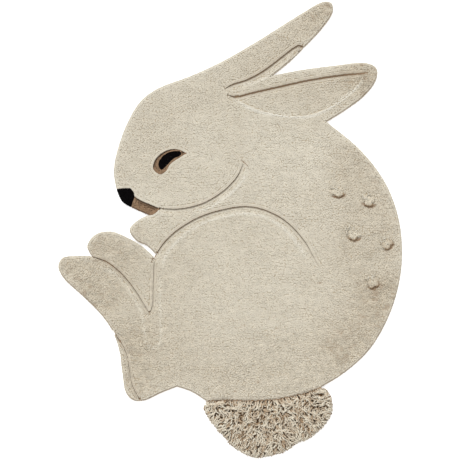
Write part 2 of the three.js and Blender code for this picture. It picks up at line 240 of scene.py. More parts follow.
class Bench:
    """Adds nodes to one tree, from a type, its settings and the values of its sockets."""

    def __init__(self, tree):
        self.tree = tree

    def node(self, kind, settings=None, sockets=None):
        node = self.tree.nodes.new(kind)
        for name, value in (settings or {}).items():
            if name == "stops":
                set_stops(node.color_ramp, value)
            else:
                setattr(node, name, value)
        for name, value in (sockets or {}).items():
            socket = node.inputs[name]
            if isinstance(value, Wire):
                self.tree.links.new(value.socket, socket)
            else:
                socket.default_value = value
        return {s.name: Wire(self, s) for s in reversed(node.outputs) if s.enabled}

    def attribute(self, name):
        """A number that the mesh carries, for a material."""
        return self.node("ShaderNodeAttribute", {"attribute_name": name})["Fac"]

    def carried(self, name, kind="FLOAT"):
        """A value that the points carry, for a geometry tree."""
        return self.node(
            "GeometryNodeInputNamedAttribute", {"data_type": kind}, {"Name": name}
        )["Attribute"]

    def noise(self, place, scale, detail=2.0):
        sockets = {"Vector": place, "Scale": scale, "Detail": detail}
        return self.node("ShaderNodeTexNoise", None, sockets)["Fac"]

    def relief(self, height, depth):
        sockets = {"Height": height, "Strength": 1.0, "Distance": depth}
        return self.node("ShaderNodeBump", None, sockets)["Normal"]

    def blend(self, share, first, second):
        """A mix of two colours, each a Wire or a colour."""
        settings = {"data_type": "RGBA"}
        node = self.tree.nodes.new("ShaderNodeMix")
        for name, value in settings.items():
            setattr(node, name, value)
        colour_inputs = [s for s in node.inputs if s.type == "RGBA"]
        for socket, value in zip([node.inputs[0], *colour_inputs], (share, first, second)):
            if isinstance(value, Wire):
                self.tree.links.new(value.socket, socket)
            else:
                socket.default_value = value
        return Wire(self, next(s for s in node.outputs if s.type == "RGBA"))


def set_stops(ramp, stops):
    while len(ramp.elements) < len(stops):
        ramp.elements.new(1.0)
    for element, (place, colour) in zip(ramp.elements, stops):
        element.position = place
        element.color = colour


def linear(red, green, blue):
    """A linear colour from its 0 to 255 screen values."""
    channels = []
    for value in (red, green, blue):
        share = value / 255
        channels.append(
            share / 12.92 if share <= 0.04045 else ((share + 0.055) / 1.055) ** 2.4
        )
    return (*channels, 1.0)


def new_material(name):
    material = bpy.data.materials.new(name)
    material.use_nodes = True
    return material, Bench(material.node_tree)


def finish_wool(material, colour, relief=None, roughness=0.95, sheen=0.12):
    """Sets the wool's shader, whose colour and relief come from the nodes."""
    shader = material.node_tree.nodes["Principled BSDF"]
    material.node_tree.links.new(colour.socket, shader.inputs["Base Color"])
    if relief:
        material.node_tree.links.new(relief.socket, shader.inputs["Normal"])
    shader.inputs["Roughness"].default_value = roughness
    shader.inputs["Specular IOR Level"].default_value = 0.15
    shader.inputs["Sheen Weight"].default_value = sheen
    shader.inputs["Sheen Roughness"].default_value = 0.5
    return material


def pile_wool(name, tip, browner, deep, parting, crest=None, heather=0.14, shadow_top=0.7):
    """Cut pile: heathered yarn ends, painted darker towards the ground as shade between them, paler as a
    painted highlight on crests, and brown as painted shade in partings and on shaded edges.
    """
    material, bench = new_material(name)
    place = bench.node("ShaderNodeTexCoord")["Object"]
    along = bench.attribute("along")
    brown = bench.attribute("brown")
    tone = bench.attribute("tone")
    patches = bench.noise(place, 28.0, 3.0)
    fleck = bench.noise(place, 420.0, 2.0)
    body = bench.blend((brown + (patches - 0.5) * 0.35).clamped(), tip, browner)
    # painted highlight: a brown share below 0 blends towards the crest colour
    if crest:
        body = bench.blend((brown * -1).clamped(), body, crest)
    lit = bench.node(
        "ShaderNodeHueSaturation",
        None,
        {"Color": body, "Value": 1 + (tone - 0.5) * heather + (fleck - 0.5) * heather * 1.5},
    )["Color"]
    # the painted highlight reaches the deep colour too
    if crest:
        deep = bench.blend((brown * -1).clamped(), deep, crest)
    # painted shade: each yarn end darkens to the deep colour towards its root
    standing = bench.blend(along.rise(0.0, shadow_top), deep, lit)
    # painted brown shade for partings, tuft shadows, carved edges and ends that face away from the
    # window
    colour = bench.blend(bench.attribute("parted").clamped(), standing, parting)
    fibres = bench.noise(place, 1300.0, 3.0)
    fuzz = bench.relief(fibres, 0.7 * MM)
    return finish_wool(material, colour, fuzz)


def strand_wool(name, tip, middle, deep, deep_until=0.3):
    """Long yarn: painted darker at its root and in the lower strands, as shade among the strands, and
    paler in the strands that lie on top.
    """
    material, bench = new_material(name)
    along = bench.attribute("along")
    tone = bench.attribute("tone")
    strand = bench.blend((tone * 1.1 + along * 0.25 - 0.1).rise(0.05, 0.95), middle, tip)
    # painted shade at the root of each strand
    colour = bench.blend(along.rise(0.02, deep_until), deep, strand)
    place = bench.node("ShaderNodeTexCoord")["Object"]
    return finish_wool(material, colour, bench.relief(bench.noise(place, 1300.0, 3.0), 0.6 * MM))


def backing_cloth():
    """Plain woven cotton, closed with latex, on the underside and along its edge."""
    material, bench = new_material("woven_backing_cloth")
    place = bench.node("ShaderNodeTexCoord")["Object"]
    across = {"wave_type": "BANDS", "bands_direction": "X", "wave_profile": "SIN"}
    down = {"wave_type": "BANDS", "bands_direction": "Y", "wave_profile": "SIN"}
    threads = {"Vector": place, "Scale": 160.0, "Distortion": 0.6, "Detail": 1.0}
    warp = bench.node("ShaderNodeTexWave", across, threads)["Fac"]
    weft = bench.node("ShaderNodeTexWave", down, threads)["Fac"]
    slub = bench.noise(place, 90.0, 3.0)
    weave = (warp * weft).clamped()
    colour = bench.blend(
        (weave * 0.7 + slub * 0.4).clamped(), linear(158, 143, 118), linear(206, 195, 172)
    )
    return finish_wool(material, colour, bench.relief(weave, 0.3 * MM), 0.9, 0.05)


# ---------------------------------------------------------------- outlines of the solids


def joined_solid(*names):
    """The solids of some pieces as one welded mesh."""
    solid = bmesh.new()
    for name in names:
        solid.from_mesh(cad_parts[name].data)
    bmesh.ops.remove_doubles(solid, verts=solid.verts, dist=1e-6)
    return solid


def area_of(loop):
    x, y = loop[:, 0], loop[:, 1]
    return 0.5 * float(np.sum(x * np.roll(y, -1) - np.roll(x, -1) * y))


def section_loops(name, height):
    """Closed outlines of a solid at a height, the longest anticlockwise and its holes
    clockwise, so the solid is always on the left."""
    solid = joined_solid(name)
    parts = [*solid.verts, *solid.edges, *solid.faces]
    cut = bmesh.ops.bisect_plane(
        solid, geom=parts, plane_co=(0, 0, height), plane_no=(0, 0, 1)
    )["geom_cut"]
    solid.verts.index_update()
    beside = {}
    for edge in cut:
        if isinstance(edge, bmesh.types.BMEdge):
            a, b = (v.index for v in edge.verts)
            beside.setdefault(a, []).append(b)
            beside.setdefault(b, []).append(a)
    solid.verts.ensure_lookup_table()
    loops, seen = [], set()
    for start in sorted(beside):
        if start in seen:
            continue
        ring, at = [start], beside[start][0]
        before = start
        while at != start:
            ring.append(at)
            onward = [v for v in beside[at] if v != before]
            before, at = at, onward[0]
        seen.update(ring)
        loops.append(np.array([solid.verts[i].co[:2] for i in ring]))
    solid.free()
    loops.sort(key=lambda ring: -abs(area_of(ring)))
    turned = []
    for i, ring in enumerate(loops):
        wrong_way = (area_of(ring) < 0) if i == 0 else (area_of(ring) > 0)
        turned.append(ring[::-1] if wrong_way else ring)
    return turned


def resampled(line, gap, closed=True):
    """Evenly spaced points along a line, and the unit normal to its left at each."""
    knots = np.vstack([line, line[:1]]) if closed else line
    steps = np.linalg.norm(np.diff(knots[:, :2], axis=0), axis=1)
    reach = np.concatenate([[0], np.cumsum(steps)])
    count = max(int(round(reach[-1] / gap)), 3)
    at = np.linspace(0, reach[-1], count, endpoint=not closed)
    points = np.stack([np.interp(at, reach, knots[:, k]) for k in range(knots.shape[1])], 1)
    if closed:
        along = np.roll(points, -1, 0) - np.roll(points, 1, 0)
    else:
        along = np.gradient(points, axis=0)
    along = along[:, :2] / np.maximum(np.linalg.norm(along[:, :2], axis=1), 1e-9)[:, None]
    left = np.stack([-along[:, 1], along[:, 0]], 1)
    return points, left


def smooth_line(rows):
    """A centripetal spline through rows of numbers, twelve steps to a row."""
    knots = np.array(rows, float)
    ends = [2 * knots[0] - knots[1], *knots, 2 * knots[-1] - knots[-2]]
    line = []
    for p0, p1, p2, p3 in zip(ends, ends[1:], ends[2:], ends[3:]):
        gaps = [np.linalg.norm((b - a)[:2]) ** 0.5 for a, b in ((p0, p1), (p1, p2), (p2, p3))]
        t1 = gaps[0]
        t2 = t1 + gaps[1]
        t3 = t2 + gaps[2]
        for t in np.linspace(t1, t2, 12, endpoint=False):
            a1 = (p0 * (t1 - t) + p1 * t) / t1
            a2 = (p1 * (t2 - t) + p2 * (t - t1)) / (t2 - t1)
            a3 = (p2 * (t3 - t) + p3 * (t - t2)) / (t3 - t2)
            b1 = (a1 * (t2 - t) + a2 * t) / t2
            b2 = (a2 * (t3 - t) + a3 * (t - t1)) / (t3 - t1)
            line.append((b1 * (t2 - t) + b2 * (t - t1)) / (t2 - t1))
    line.append(knots[-1])
    return np.array(line)


class Near:
    """Finds the nearest of some points on the floor plan."""

    def __init__(self, points):
        self.tree = kdtree.KDTree(len(points))
        for i, p in enumerate(points):
            self.tree.insert((p[0], p[1], 0), i)
        self.tree.balance()

    def __call__(self, points):
        found = [self.tree.find((p[0], p[1], 0)) for p in points]
        return np.array([f[1] for f in found], int), np.array([f[2] for f in found])


class Surface:
    """The top surface of some solids."""

    def __init__(self, *names):
        solid = joined_solid(*names)
        self.tree = BVHTree.FromBMesh(solid)
        solid.free()

    def __call__(self, points):
        """Height and normal under each point. The height is negative off the solids."""
        heights = np.full(len(points), -1.0)
        normals = np.tile((0.0, 0.0, 1.0), (len(points), 1))
        for i, p in enumerate(points):
            spot, normal, _, _ = self.tree.ray_cast((p[0], p[1], 0.1), (0, 0, -1))
            if spot is not None:
                heights[i] = spot.z
                normals[i] = normal
        return heights, normals


class Waves:
    """Smooth seeded noise over the floor plan, from 0 to 1."""

    def __init__(self, seed, long, wide):
        self.table = np.random.default_rng(seed).random((64, 64))
        self.size = np.array([long, wide])

    def __call__(self, points):
        place = points[:, :2] / self.size + 31.7
        low = np.floor(place).astype(int)
        share = place - low
        share = share * share * (3 - 2 * share)
        x0, y0 = low[:, 0] % 64, low[:, 1] % 64
        x1, y1 = (x0 + 1) % 64, (y0 + 1) % 64
        bottom = self.table[x0, y0] * (1 - share[:, 0]) + self.table[x1, y0] * share[:, 0]
        top = self.table[x0, y1] * (1 - share[:, 0]) + self.table[x1, y1] * share[:, 0]
        return bottom * (1 - share[:, 1]) + top * share[:, 1]


# ---------------------------------------------------------------- carving and shades

carved_rows = []
for bare, rows in CARVED_LINES.values():
    line, left = resampled(smooth_line(rows) * (MM, MM, 1), 1.0 * MM, closed=False)
    gap = bare * MM * np.clip(line[:, 2:3], 0.35, 1)
    carved_rows.append(np.hstack([line, left, gap]))
carved = np.vstack(carved_rows)  # columns x, y, deep, left x, left y, gap
near_carved = Near(carved)


def carving_at(points):
    """Signed distance to the nearest carved line, positive on its sloping side, and the
    distance, depth and bare half-width there."""
    index, distance = near_carved(points)
    here = carved[index]
    side = -np.sum((points[:, :2] - here[:, :2]) * here[:, 3:5], axis=1)
    return side, distance, here[:, 2], here[:, 5]


crest_rows = []
for strength, rows in CRESTS.values():
    strong = [(x, y, strength) for x, y in rows]
    line, left = resampled(smooth_line(strong) * (MM, MM, 1), BORDER_GAP, closed=False)
    ends = np.minimum(np.arange(len(line)), np.arange(len(line))[::-1]) / 8
    line[:, 2] *= np.clip(ends, 0, 1)
    crest_rows.append(np.hstack([line, left]))
crests = np.vstack(crest_rows)
near_crest = Near(crests)


def crest_at(points):
    """How strongly the pile rises to a crest at each point, which also sets how much painted highlight
    it takes.
    """
    index, distance = near_crest(points)
    return crests[index, 2] * np.exp(-((distance / CREST_WIDTH) ** 2))


def wool_at(points):
    """How brown the pile is, partly its own colour and partly painted shade, and how coarse its grain,
    blended between the regions.
    """
    total = np.zeros(len(points))
    found = np.zeros((2, len(points)))
    for _, x, y, reach, brown, grain in WOOL_SHADES:
        away = np.linalg.norm(points[:, :2] - (x * MM, y * MM), axis=1) / (reach * MM)
        weight = np.exp(-(away**2)) + 1e-6
        total += weight
        found += np.outer((brown, grain), weight)
    return found / total


def partings_and_shade_at(points):
    """How much each point is lowered and painted with brown shade: the painted shadow on the low side of
    each back tuft, and the listed partings of the pile.
    """
    parted = np.zeros(len(points))
    for x, y, long, wide, strength in PARTINGS:
        off = (points[:, :2] - (x * MM, y * MM)) / (long * MM / 2, wide * MM / 2)
        parted = np.maximum(parted, strength * np.exp(-np.sum(off**2, axis=1)))
    for _, x, y, long, wide, turn, _ in BACK_TUFTS:
        # painted shadow of the tuft on the pile, on its side away from the window
        shade = (x + long * 0.04, y - wide * 0.06)
        c, s = math.cos(math.radians(turn)), math.sin(math.radians(turn))
        off = points[:, :2] - (shade[0] * MM, shade[1] * MM)
        u = (off[:, 0] * c + off[:, 1] * s) / (long * MM / 2)
        v = (off[:, 1] * c - off[:, 0] * s) / (wide * MM / 2)
        below = np.clip((u * 0.35 - v * 0.94 - 0.2) / 0.3, 0, 1)
        shaded = np.clip((1.2 - np.hypot(u, v)) / 0.2, 0, 1) * below * 0.8
        parted = np.maximum(parted, shaded)
    return parted


# ---------------------------------------------------------------- yarn ends of the pile

pile_surface = Surface("tufted_body", "eye_rim", "eye_pupil", "nose", "mouth")
tail_surface = Surface("tail")
near_rug_edge = Near(resampled(section_loops("tufted_body", SECTION_AT)[0], 1.0 * MM)[0])
pile_undulation = Waves(3, 26 * MM, 7 * MM)
row_wander = Waves(5, 45 * MM, 30 * MM)
row_streaks = Waves(9, 13 * MM, 3.9 * MM)
mottling = Waves(13, 10 * MM, 7 * MM)
ruffle_x, ruffle_y = Waves(15, 11 * MM, 8 * MM), Waves(17, 12 * MM, 7 * MM)
ruffle_lines = Waves(19, 12 * MM, 4.6 * MM)


# The side of an inlay whose outer yarn ends are lowered and painted dark, as the shadow of the taller
# pile over its carved-in outline.
DARK_SIDES = {"eye_rim": (-0.35, 0.94), "mouth": (0.4, 0.92)}


def kept(points, mask):
    return {name: values[mask] for name, values in points.items()}


def gathered(groups):
    return {name: np.concatenate([g[name] for g in groups]) for name in groups[0]}


def row_of_ends(points, left, border):
    """Yarn ends whose long side runs along their row."""
    return {
        "at": points,
        "out": -left * border,
        "border": np.full(len(points), border),
        "free": np.zeros(len(points)),
        "shaded": np.zeros(len(points)),
        "turn": np.arctan2(-left[:, 0], left[:, 1]),
    }


def stands_free(points):
    """1 where no cut pile stands at a point, so the pile ends there."""
    return np.where(pile_surface(points)[0] < SECTION_AT, 1.0, 0.0)


def border_rows(loops, edge, inset=BORDER_INSET, dark_side=None):
    """Two rows of yarn ends just inside each outline of a piece, the outer one painted with
    shadow where it faces the dark side, and the next one half as much."""
    rows = []
    for number, loop in enumerate(loops):
        points, left = resampled(loop, BORDER_GAP)
        free = stands_free(points - left * 2 * MM)
        points = points - left * (free * EDGE_SPREAD)[:, None]
        first = row_of_ends(points + left * inset, left, 1.0)
        first["free"] = free
        second = row_of_ends(points + left * (BORDER_INSET + SECOND_ROW), left, 0.0)
        if dark_side and number == 0:
            # painted shadow along the inlay's carved-in side
            first["shaded"] = np.clip(-left @ np.array(dark_side) * 4, 0, 1)
            second["shaded"] = first["shaded"] * 0.5
        rows.append(first)
        _, to_edge = edge(second["at"])
        to_edge += free * EDGE_SPREAD
        rows.append(kept(second, to_edge > BORDER_INSET + SECOND_ROW * 0.86))
    return gathered(rows)


def carved_row(rug_edge):
    """Rows of yarn ends along both sides of every carved line."""
    rows = []
    for row in carved_rows:
        for side, number in ((1, 0), (-1, 0), (1, 1), (-1, 1)):
            away = row[:, 5] + YARN_END["wide"] * (0.28 + 0.14 * row[:, 2]) + ROW_PITCH * number
            line = row[:, :2] + row[:, 3:5] * (side * away)[:, None]
            points, left = resampled(line, BORDER_GAP, closed=False)
            rows.append(row_of_ends(points, left, 0.0))
    rows = gathered(rows)
    _, to_edge = rug_edge(rows["at"])
    _, distance, _, gap = carving_at(rows["at"])
    clear = distance > gap + YARN_END["wide"] * 0.25
    return kept(rows, (to_edge > BORDER_INSET + ROW_PITCH * 1.7) & clear)


def clear_of_carving(rows):
    _, distance, _, gap = carving_at(rows["at"])
    return kept(rows, distance > gap + YARN_END["wide"] * 0.3)


def fill_rows(loops, rug_edge, laid, seed):
    """Wavy rows of yarn ends over the inside of a piece, clear of the ends already laid."""
    every = np.vstack(loops)
    low, high = every.min(0), every.max(0)
    shake = np.random.default_rng(seed)
    rows = []
    for number, y in enumerate(np.arange(low[1], high[1], YARN_END["row"])):
        start = low[0] + (number % 2) * YARN_END["along"] / 2
        x = np.arange(start, high[0], YARN_END["along"])
        points = np.stack([x, np.full(len(x), y)], 1)
        points[:, 1] += (row_wander(points) - 0.5) * 6.0 * MM
        points += shake.normal(0, 0.55 * MM, points.shape)
        rows.append(points)
    points = np.vstack(rows)
    _, to_edge = rug_edge(points)
    _, to_row = Near(laid)(points)
    points = points[(to_edge > BORDER_INSET * 1.4) & (to_row > FILL_CLEARANCE)]
    across = np.tile((0.0, 1.0), (len(points), 1))
    return row_of_ends(points, across, 0.0)


def yarn_ends(name, seed):
    """Every yarn end of one piece, where it stands and how it turns, with the height and normal of the
    solid under it.
    """
    loops = section_loops(name, SECTION_AT)
    dense = np.vstack([resampled(loop, 1.0 * MM)[0] for loop in loops])
    edge = Near(dense)
    surface = Surface(name)
    is_body = name == "tufted_body"
    inset = PUPIL_INSET if name == "eye_pupil" else BORDER_INSET
    rows = [border_rows(loops, edge, inset, DARK_SIDES.get(name))]
    if is_body:
        rows.append(carved_row(edge))
        rows[0] = clear_of_carving(rows[0])
    laid = gathered(rows)
    fill = fill_rows(loops, edge, laid["at"], seed)
    ends = gathered([laid, clear_of_carving(fill) if is_body else fill])
    heights, normals = surface(ends["at"])
    inside = heights > SECTION_AT
    ends = kept(ends, inside)
    heights, normals = heights[inside], normals[inside]
    return ends, heights, normals, is_body


def dressed_ends(name, seed):
    """Adds what the yarn-end tree reads to the yarn ends of one piece."""
    ends, heights, normals, is_body = yarn_ends(name, seed)
    at = ends["at"]
    shake = np.random.default_rng(seed + 100)
    free = ends["free"]
    direction = normals.copy()
    at_rim = (ends["border"] > 0)[:, None]
    direction = np.where(at_rim, (0.0, 0.0, 1.0), direction)
    direction[:, :2] += ends["out"] * (BORDER_LEAN * free)[:, None]
    direction[:, :2] += shake.normal(0, 0.06, at.shape) * np.where(at_rim, 0.4, 1.0)
    direction /= np.linalg.norm(direction, axis=1)[:, None]
    at_tail = tail_surface(at + ends["out"] * 4 * MM)[0] > 0
    edge_height = np.where(at_tail, 11.7, 10.3) * MM
    heights = np.where(free > 0, np.maximum(heights, edge_height), heights)
    heights = heights + (pile_undulation(at) - 0.5) * 0.7 * MM
    heights += (row_streaks(at) - 0.5) * 0.3 * MM
    brown, grain = wool_at(at)
    crest = crest_at(at) if is_body else np.zeros(len(at))
    heights += crest * 0.6 * MM
    facing = ends["out"] @ np.array(TOWARDS_WINDOW)
    if is_body:
        _, to_edge = near_rug_edge(at)
        # painted highlight along the rug's edge, strongest where the edge faces the window
        rim_highlight = (0.16 + 0.28 * facing) * np.exp(-((to_edge / RIM_WIDTH) ** 2))
        crest = np.maximum(crest, rim_highlight)
    rough = np.clip(brown * 1.8 - 0.5, 0, 1) * (ends["border"] == 0)
    lean = np.column_stack([ruffle_x(at), ruffle_y(at)]) - 0.5
    direction[:, :2] += (lean * 0.9 + shake.normal(0, 0.12, at.shape)) * rough[:, None]
    direction /= np.linalg.norm(direction, axis=1)[:, None]
    heights += ((ruffle_y(at) - 0.5) * 2.0 * MM + shake.normal(0, 0.25 * MM, len(at))) * rough
    uneven = np.clip(grain - 0.9, 0, 2) * (ends["border"] == 0)
    heights += shake.normal(0, 0.35 * MM, len(at)) * uneven
    parted = partings_and_shade_at(at) if is_body else ends["shaded"]
    # painted shade on edge ends that face away from the window, and a little along the seam with the
    # tail
    away_from_light = np.where(at_tail, 0.06, np.clip(-0.15 - facing, 0, 1) * 0.45)
    parted = np.maximum(parted, away_from_light * free)
    # painted brown shade in the furrows between ruffles, which are also lowered
    furrows = np.clip((0.34 - ruffle_lines(at + lean * 9 * MM)) * 5, 0, 1)
    parted = np.maximum(parted, 0.42 * furrows * rough)
    if is_body:
        _, to_line, deep, gap = carving_at(at)
        # painted brown shade on the yarn ends beside each carved line
        beside_line = np.exp(-((np.maximum(to_line - gap, 0) / (2.2 * MM)) ** 2))
        parted = np.maximum(parted, 0.4 * beside_line * np.clip(deep, 0, 1))
    heights -= parted * 1.2 * MM
    length = np.where(free > 0, BORDER_END_LENGTH, END_LENGTH)
    length = np.minimum(length, heights - 0.8 * MM)
    top = np.column_stack([at, heights])
    return {
        "root": top - direction * length[:, None],
        "direction": direction,
        "length": length,
        # a brown share below 0 carries the painted highlight of crests and of the rug's edge
        "brown": np.clip(np.clip(brown, 0, 1) * (1 - crest) - crest, -1, 1),
        "parted": parted,
        "tone": np.clip(
            0.5 + shake.normal(0, 0.2, len(at)) * grain
            + (mottling(at) - 0.5) * (0.7 + 1.5 * rough), -0.6, 1.6),
        "turn": ends["turn"] + shake.normal(0, 0.5, len(at)) * (1 - 0.8 * ends["border"]),
        "shape": shake.integers(0, END_SHAPES, len(at)),
        "plump": np.where(free > 0, 1.0, shake.uniform(0.9, 1.12, len(at))),
    }


def points_mesh(name, values):
    """A mesh of loose points that carries one value of each name at each point."""
    mesh = bpy.data.meshes.new(name)
    count = len(values["root"])
    mesh.vertices.add(count)
    mesh.vertices.foreach_set("co", values["root"].astype(np.float32).ravel())
    for key, found in values.items():
        if key == "root":
            continue
        if found.dtype.kind == "i":
            kind, field, form = "INT", "value", np.int32
        elif found.ndim == 2:
            kind, field, form = "FLOAT_VECTOR", "vector", np.float32
        else:
            kind, field, form = "FLOAT", "value", np.float32
        layer = mesh.attributes.new(key, kind, "POINT")
        layer.data.foreach_set(field, found.astype(form).ravel())
    return mesh


def yarn_end_shapes():
    """Cut yarn ends of unit length and width, which carry their height along the yarn."""
    shake = np.random.default_rng(2)
    sides = 5
    rings = ((0.0, 0.60), (0.66, 0.51))  # height, radius
    shapes = []
    for number in range(END_SHAPES):
        spots = []
        for ring, (height, radius) in enumerate(rings):
            for k in range(sides):
                angle = 2 * math.pi * (k + 0.3 * ring) / sides + shake.normal(0, 0.12)
                reach = radius * shake.uniform(0.82, 1.12)
                lift = height * shake.uniform(0.85, 1.15)
                spots.append((reach * math.cos(angle), reach * math.sin(angle), lift))
        spots.append((*shake.normal(0, 0.07, 2), 1))
        faces = [tuple(reversed(range(sides)))]
        for k in range(sides):
            after = (k + 1) % sides
            faces.append((k, after, sides + after, sides + k))
            faces.append((sides + k, sides + after, 2 * sides))
        mesh = bpy.data.meshes.new("yarn_end")
        mesh.from_pydata(spots, [], faces)
        along = mesh.attributes.new("along", "FLOAT", "POINT")
        along.data.foreach_set("value", [spot[2] for spot in spots])
        shapes.append(bpy.data.objects.new(f"yarn_end_{number}", mesh))
    return shapes


def yarn_end_tree(shapes):
    """Stands one yarn end on each point, as long and as turned as the point says."""
    tree = bpy.data.node_groups.new("Stand yarn ends on points", "GeometryNodeTree")
    face = tree.interface
    face.new_socket("Points", in_out="INPUT", socket_type="NodeSocketGeometry")
    for name in ("Long", "Wide"):
        face.new_socket(name, in_out="INPUT", socket_type="NodeSocketFloat")
    face.new_socket("Wool", in_out="INPUT", socket_type="NodeSocketMaterial")
    face.new_socket("Pile", in_out="OUTPUT", socket_type="NodeSocketGeometry")
    bench = Bench(tree)
    given = bench.node("NodeGroupInput")
    ends = tree.nodes.new("GeometryNodeJoinGeometry")
    for shape in shapes:
        end = bench.node("GeometryNodeObjectInfo", None, {"Object": shape, "As Instance": True})
        tree.links.new(end["Geometry"].socket, ends.inputs["Geometry"])
    upright = bench.node(
        "FunctionNodeAlignRotationToVector",
        {"axis": "Z"},
        {"Vector": bench.carried("direction", "FLOAT_VECTOR")},
    )["Rotation"]
    spin = bench.node(
        "FunctionNodeAxisAngleToRotation", None, {"Angle": bench.carried("turn")}
    )["Rotation"]
    turned = bench.node(
        "FunctionNodeRotateRotation",
        {"rotation_space": "LOCAL"},
        {"Rotation": upright, "Rotate By": spin},
    )["Rotation"]
    plump = bench.carried("plump")
    size = bench.node(
        "ShaderNodeCombineXYZ",
        None,
        {"X": given["Long"] * plump, "Y": given["Wide"] * plump, "Z": bench.carried("length")},
    )["Vector"]
    stood = bench.node(
        "GeometryNodeInstanceOnPoints",
        None,
        {
            "Points": given["Points"],
            "Instance": Wire(bench, ends.outputs["Geometry"]),
            "Pick Instance": True,
            "Instance Index": bench.carried("shape", "INT"),
            "Rotation": turned,
            "Scale": size,
        },
    )["Instances"]
    real = bench.node("GeometryNodeRealizeInstances", None, {"Geometry": stood})["Geometry"]
    smooth = bench.node("GeometryNodeSetShadeSmooth", None, {"Geometry": real})["Geometry"]
    height = bench.node(
        "ShaderNodeSeparateXYZ", None, {"Vector": bench.node("GeometryNodeInputPosition")["Position"]}
    )["Z"]
    sorted_up = bench.node(
        "GeometryNodeSortElements",
        {"domain": "FACE"},
        {"Geometry": smooth, "Sort Weight": height},
    )["Geometry"]
    dyed = bench.node(
        "GeometryNodeSetMaterial", None, {"Geometry": sorted_up, "Material": given["Wool"]}
    )["Geometry"]
    out = tree.nodes.new("NodeGroupOutput")
    tree.links.new(dyed.socket, out.inputs["Pile"])
    return tree


def input_id(tree, name):
    return next(
        item.identifier
        for item in tree.interface.items_tree
        if item.item_type == "SOCKET" and item.in_out == "INPUT" and item.name == name
    )


def grown(name, mesh, tree, **inputs):
    """The plain mesh object that a geometry tree makes of a mesh."""
    seed = bpy.data.objects.new(name + "_seed", mesh)
    bpy.context.scene.collection.objects.link(seed)
    modifier = seed.modifiers.new("grow", "NODES")
    modifier.node_group = tree
    for key, value in inputs.items():
        modifier[input_id(tree, key)] = value
    shown = seed.evaluated_get(bpy.context.evaluated_depsgraph_get())
    made = bpy.data.meshes.new_from_object(shown)
    made.name = name
    bpy.data.objects.remove(seed)
    bpy.data.meshes.remove(mesh)
    piece = bpy.data.objects.new(name, made)
    bpy.context.scene.collection.objects.link(piece)
    return piece


def lay_flat_map(piece):
    """A UV map straight from above, stretched to fill the square."""
    mesh = piece.data
    spots = np.empty(len(mesh.vertices) * 3, np.float32)
    mesh.vertices.foreach_get("co", spots)
    spots = spots.reshape(-1, 3)[:, :2]
    low, high = spots.min(0), spots.max(0)
    corners = np.empty(len(mesh.loops), np.int32)
    mesh.loops.foreach_get("vertex_index", corners)
    places = (0.004 + 0.992 * (spots - low) / (high - low))[corners]
    layer = mesh.uv_layers.new(name="OFBake")
    layer.uv.foreach_set("vector", places.astype(np.float32).ravel())


# ---------------------------------------------------------------- long yarn

STRAND_SPANS = 8  # straight spans in a strand of the tail
TAIL_GAP = 4.6 * MM  # between the roots of the tail's strands


def bezier(first, second, third, last, share):
    """Points on cubic curves, one row of curves for each column of shares."""
    rest = 1 - share
    return (
        first[:, None] * (rest**3)[None, :, None]
        + second[:, None] * (3 * rest**2 * share)[None, :, None]
        + third[:, None] * (3 * rest * share**2)[None, :, None]
        + last[:, None] * (share**3)[None, :, None]
    )


def crinkled(lines, amount, turns, shake):
    """Waves each strand to both sides, more towards its loose end."""
    count, knots, _ = lines.shape
    share = np.linspace(0, 1, knots)
    along = np.gradient(lines, axis=1)
    along /= np.maximum(np.linalg.norm(along, axis=2), 1e-9)[:, :, None]
    across = np.cross(along, (0.0, 0.0, 1.0))
    across /= np.maximum(np.linalg.norm(across, axis=2), 1e-3)[:, :, None]
    upward = np.cross(across, along)
    phase = shake.uniform(0, 2 * np.pi, (2, count, 1))
    pace = turns * shake.uniform(0.75, 1.3, (2, count, 1)) * 2 * np.pi
    swell = amount * np.minimum(share * 2.2, 1)[None, :]
    lines = lines + across * (np.sin(phase[0] + pace[0] * share) * swell)[:, :, None]
    return lines + upward * (np.sin(phase[1] + pace[1] * share) * swell * 0.7)[:, :, None]


def strand_mesh(name, lines, tone, thick):
    """The centre lines of strands as one mesh of edges."""
    count, knots, _ = lines.shape
    first = np.arange(count * knots).reshape(count, knots)
    edges = np.stack([first[:, :-1].ravel(), first[:, 1:].ravel()], 1)
    mesh = bpy.data.meshes.new(name)
    mesh.from_pydata(lines.reshape(-1, 3).tolist(), edges.tolist(), [])
    for key, values in (("tone", tone), ("thick", thick)):
        layer = mesh.attributes.new(key, "FLOAT", "POINT")
        layer.data.foreach_set("value", np.repeat(values, knots).astype(np.float32))
    return mesh


